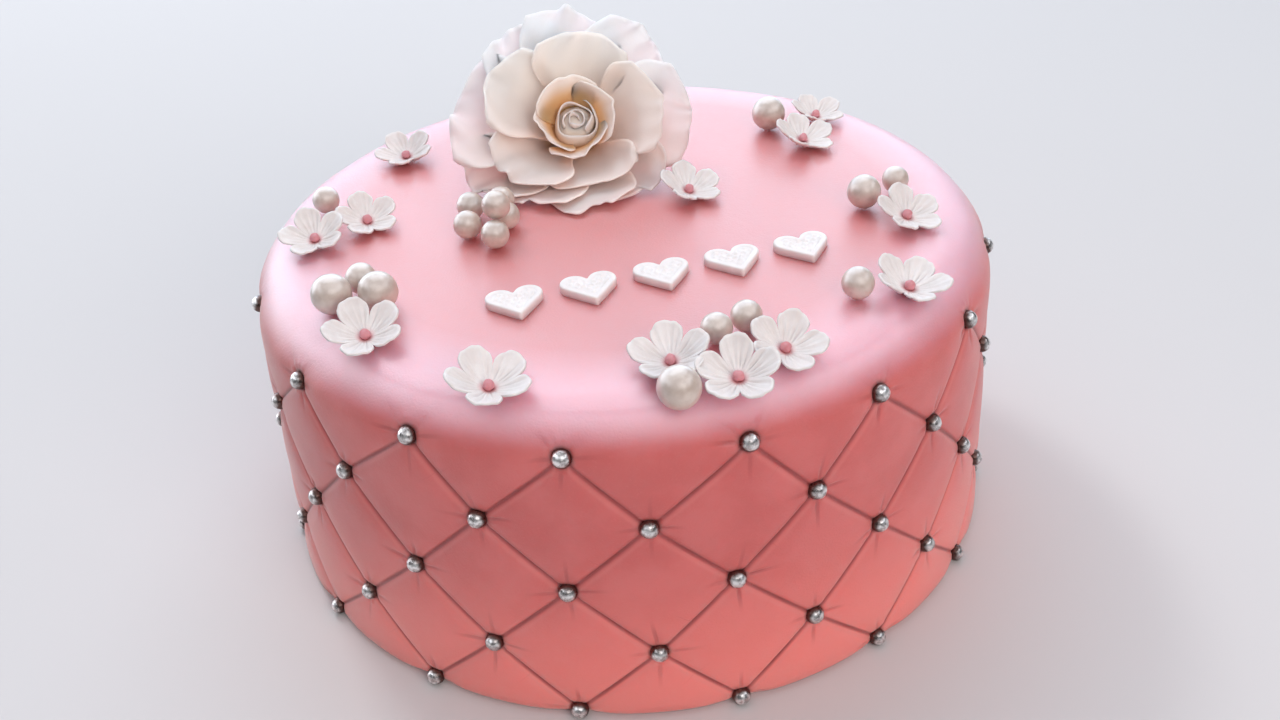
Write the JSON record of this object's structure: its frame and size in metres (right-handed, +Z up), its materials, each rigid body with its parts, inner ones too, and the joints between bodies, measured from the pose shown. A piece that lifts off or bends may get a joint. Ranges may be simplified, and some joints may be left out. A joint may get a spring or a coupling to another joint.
{
  "type": "quilted fondant cake",
  "caption": "Round cake covered in quilted pink sugar paste with silver beads, topped with a sugar rose, blossoms, pearls and hearts.",
  "frame": {"origin": "middle of the cake's flat base, on the surface that it stands on", "axes": "+Z up, -Y towards the side that the row of hearts is read from, +X to the right of that side"},
  "size_m": [0.2126, 0.2128, 0.135],
  "materials": {
    "pink_paste": "smooth matt sugar paste",
    "white_paste": "thin dried sugar paste",
    "pearl_sugar": "pearly sugar coat",
    "silver_bead": "silvered sugar",
    "blossom_centre": "matt sugar paste"
  },
  "bodies": {
    "root": {"quilted_cake": "pink_paste", "sugar_rose": "white_paste", "blossom_01": "white_paste", "blossom_02": "white_paste", "blossom_03": "white_paste", "blossom_04": "white_paste", "blossom_05": "white_paste", "blossom_06": "white_paste", "blossom_07": "white_paste", "blossom_08": "white_paste", "blossom_09": "white_paste", "blossom_10": "white_paste", "blossom_11": "white_paste", "blossom_12": "white_paste", "blossom_13": "white_paste", "pearl_01": "pearl_sugar", "pearl_02": "pearl_sugar", "pearl_03": "pearl_sugar", "pearl_04": "pearl_sugar", "pearl_05": "pearl_sugar", "pearl_06": "pearl_sugar", "pearl_07": "pearl_sugar", "pearl_08": "pearl_sugar", "pearl_09": "pearl_sugar", "pearl_10": "pearl_sugar", "pearl_11": "pearl_sugar", "pearl_12": "pearl_sugar", "pearl_13": "pearl_sugar", "pearl_14": "pearl_sugar", "pearl_15": "pearl_sugar", "pearl_16": "pearl_sugar", "pearl_17": "pearl_sugar", "heart_1": "white_paste", "heart_2": "white_paste", "heart_3": "white_paste", "heart_4": "white_paste", "heart_5": "white_paste"}
  },
  "joints": []
}
